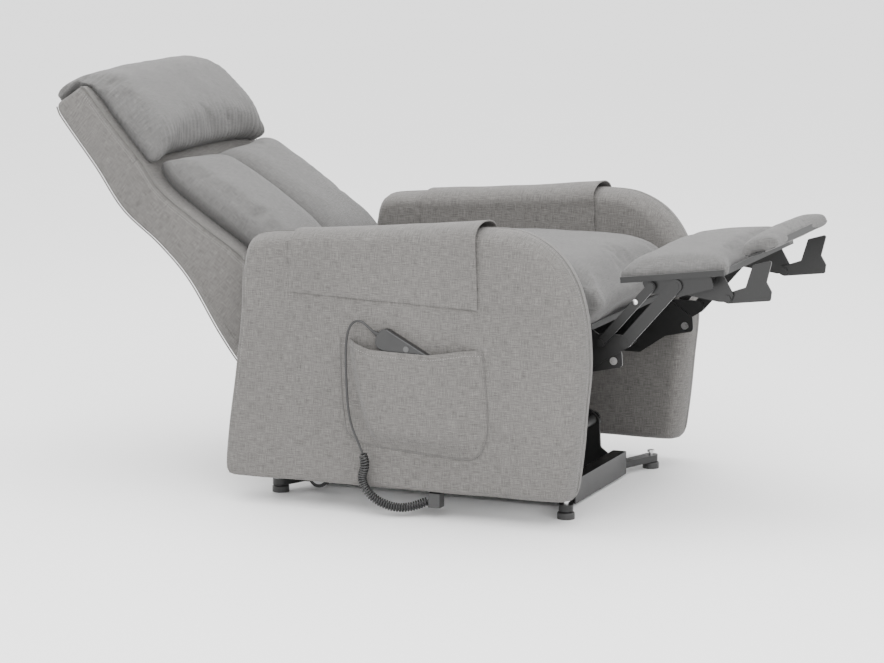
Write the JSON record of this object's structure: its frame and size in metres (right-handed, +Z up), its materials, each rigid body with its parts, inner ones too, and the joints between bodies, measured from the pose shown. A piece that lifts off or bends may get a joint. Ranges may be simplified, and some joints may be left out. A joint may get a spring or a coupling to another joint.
{
  "type": "lift recliner chair",
  "caption": "Upholstered armchair that reclines, raises a footrest and tips forward on a powered lift linkage, with a wired handset in a side pocket.",
  "frame": {"origin": "on the floor, in the middle of the chair as it stands with its back leaned and its footrest out", "axes": "+Z up, the sitter faces -Y, the sitter's right hand and the handset pocket are on -X"},
  "size_m": [0.8235, 1.5818, 0.8589],
  "materials": {
    "upholstery": "heathered warm grey linen-like weave",
    "cushion_cloth": "the same cloth over soft filling",
    "wood_frame": "raw plywood and softwood",
    "black_steel": "satin black powder coat",
    "bright_steel": "zinc plated",
    "motor_plastic": "matte black moulding",
    "motor_tube": "drawn tube",
    "handset_plastic": "satin black moulding",
    "button_rubber": "soft grey keys",
    "cord_sheath": "satin flexible sheath",
    "foot_plastic": "moulded foot",
    "wheel_plastic": "light grey moulded hub",
    "wheel_tyre": "dull dark tread"
  },
  "bodies": {
    "base": {"base_front_beam": "black_steel", "base_side_rails": "black_steel", "base_rear_rail": "black_steel", "front_outriggers": "black_steel", "rear_outriggers": "black_steel", "levelling_feet": "foot_plastic", "levelling_screws": "bright_steel", "lift_brackets": "black_steel", "base_pins": "bright_steel"},
    "wheel_left": {"wheel_tyre_left": "wheel_tyre", "wheel_hub_left": "wheel_plastic"},
    "wheel_right": {"wheel_tyre_right": "wheel_tyre", "wheel_hub_right": "wheel_plastic"},
    "lower_lift_arms": {"lower_lift_arms": "black_steel", "lift_torque_tube": "black_steel"},
    "upper_lift_arms": {"upper_lift_arms": "black_steel"},
    "lift_motor": {"lift_motor_housing": "motor_plastic"},
    "lift_motor_rod": {"lift_motor_rod": "motor_tube"},
    "seat": {"seat_side_plates": "black_steel", "seat_cross_rails": "black_steel", "seat_hangers": "black_steel", "seat_pins": "bright_steel", "seat_deck": "wood_frame", "seat_cushion": "cushion_cloth", "arm_brackets": "black_steel", "arm_cores": "wood_frame", "arm_left": "upholstery", "arm_right": "upholstery", "arm_cover_left": "upholstery", "arm_cover_right": "upholstery", "pocket": "upholstery", "cord_socket": "motor_plastic", "control_box": "motor_plastic", "handset_coil": "cord_sheath"},
    "back": {"back_shell": "upholstery", "back_frame": "wood_frame", "back_brackets": "black_steel", "lumbar_cushion": "cushion_cloth", "head_pillow": "cushion_cloth"},
    "back_motor": {"back_motor_housing": "motor_plastic"},
    "back_motor_rod": {"back_motor_rod": "motor_tube"},
    "footrest_arms": {"footrest_arms": "black_steel", "footrest_arm_rivets": "bright_steel"},
    "long_footrest_links": {"long_footrest_links": "black_steel"},
    "short_footrest_links": {"short_footrest_links": "black_steel"},
    "footrest": {"footrest_board": "wood_frame", "footrest_pad": "cushion_cloth", "footrest_plates": "black_steel", "footrest_rivets": "bright_steel"},
    "footrest_flap": {"flap_board": "wood_frame", "flap_pad": "cushion_cloth", "flap_brackets": "black_steel"},
    "handset": {"handset_back": "handset_plastic", "handset_front": "handset_plastic", "strain_relief": "cord_sheath", "handset_lead": "cord_sheath"},
    "button_back_up": {"button_back_up": "button_rubber"},
    "button_back_down": {"button_back_down": "button_rubber"},
    "button_lift": {"button_lift": "button_rubber"},
    "button_lower": {"button_lower": "button_rubber"}
  },
  "joints": [
    {"name": "lift", "type": "hinge", "parent": "base", "child": "lower_lift_arms", "pos_m": [0, -0.285, 0.125], "axis": [1, 0, 0], "range_deg": [0, 56]},
    {"name": "seat_tilt", "type": "hinge", "parent": "lower_lift_arms", "child": "seat", "pos_m": [0, -0.059, 0.128], "axis": [1, 0, 0], "range_deg": [-32.01, 0]},
    {"name": "upper_lift_arm_turn", "type": "hinge", "parent": "base", "child": "upper_lift_arms", "pos_m": [0, -0.213, 0.165], "axis": [1, 0, 0], "range_deg": [0, 44.12]},
    {"name": "lift_motor_turn", "type": "hinge", "parent": "base", "child": "lift_motor", "pos_m": [0, 0.21, 0.084], "axis": [1, 0, 0], "range_deg": [0, 1]},
    {"name": "lift_motor_stroke", "type": "slide", "parent": "lift_motor", "child": "lift_motor_rod", "axis": [0, -0.9769, 0.2138], "range_m": [0, 0.06353]},
    {"name": "back_raise", "type": "hinge", "parent": "seat", "child": "back", "pos_m": [0, 0.21, 0.31], "axis": [1, 0, 0], "range_deg": [0, 38]},
    {"name": "back_motor_turn", "type": "hinge", "parent": "seat", "child": "back_motor", "pos_m": [0, -0.201, 0.222], "axis": [1, 0, 0], "range_deg": [0, 1.85]},
    {"name": "back_motor_stroke", "type": "slide", "parent": "back_motor", "child": "back_motor_rod", "axis": [0, 0.9984, 0.0569], "range_m": [0, 0.04]},
    {"name": "footrest_fold", "type": "hinge", "parent": "seat", "child": "footrest_arms", "pos_m": [0, -0.341, 0.289], "axis": [1, 0, 0], "range_deg": [0, 97.4]},
    {"name": "long_link_turn", "type": "hinge", "parent": "footrest_arms", "child": "long_footrest_links", "pos_m": [0, -0.488, 0.368], "axis": [1, 0, 0], "range_deg": [-113.61, 0]},
    {"name": "short_link_turn", "type": "hinge", "parent": "footrest_arms", "child": "short_footrest_links", "pos_m": [0, -0.438, 0.364], "axis": [1, 0, 0], "range_deg": [-113.61, 0]},
    {"name": "footrest_tilt", "type": "hinge", "parent": "long_footrest_links", "child": "footrest", "pos_m": [0, -0.594, 0.489], "axis": [1, 0, 0], "range_deg": [0, 113.61]},
    {"name": "flap_fold", "type": "hinge", "parent": "footrest", "child": "footrest_flap", "pos_m": [0, -0.69, 0.464], "axis": [1, 0, 0], "range_deg": [0, 85.01]},
    {"name": "handset_pull", "type": "slide", "parent": "seat", "child": "handset", "axis": [0, 0.8829, 0.4695], "range_m": [0, 0.1]},
    {"name": "press_back_up", "type": "slide", "parent": "handset", "child": "button_back_up", "axis": [1, 0, 0], "range_m": [0, 0.0012], "stiffness_N_per_m": 400, "springref_m": -0.0006},
    {"name": "press_back_down", "type": "slide", "parent": "handset", "child": "button_back_down", "axis": [1, 0, 0], "range_m": [0, 0.0012], "stiffness_N_per_m": 400, "springref_m": -0.0006},
    {"name": "press_lift", "type": "slide", "parent": "handset", "child": "button_lift", "axis": [1, 0, 0], "range_m": [0, 0.0012], "stiffness_N_per_m": 400, "springref_m": -0.0006},
    {"name": "press_lower", "type": "slide", "parent": "handset", "child": "button_lower", "axis": [1, 0, 0], "range_m": [0, 0.0012], "stiffness_N_per_m": 400, "springref_m": -0.0006},
    {"name": "roll_left", "type": "hinge", "parent": "base", "child": "wheel_left", "pos_m": [0.231, 0.192, 0.0335], "axis": [1, 0, 0], "continuous": true},
    {"name": "roll_right", "type": "hinge", "parent": "base", "child": "wheel_right", "pos_m": [-0.231, 0.192, 0.0335], "axis": [1, 0, 0], "continuous": true}
  ],
  "couplings": [
    {"joint": "seat_tilt", "follows": "lift", "ratio": -0.57143},
    {"joint": "upper_lift_arm_turn", "follows": "lift", "ratio": 0.78762},
    {"joint": "lift_motor_turn", "follows": "lift", "ratio": 0.017747},
    {"joint": "lift_motor_stroke", "follows": "lift", "m_per_rad": 0.064989},
    {"joint": "back_motor_turn", "follows": "back_raise", "ratio": 0.048552},
    {"joint": "back_motor_stroke", "follows": "back_raise", "m_per_rad": 0.060293},
    {"joint": "long_link_turn", "follows": "footrest_fold", "ratio": -1.1663},
    {"joint": "short_link_turn", "follows": "footrest_fold", "ratio": -1.1663},
    {"joint": "footrest_tilt", "follows": "footrest_fold", "ratio": 1.1663},
    {"joint": "flap_fold", "follows": "footrest_fold", "ratio": 0.87269}
  ]
}
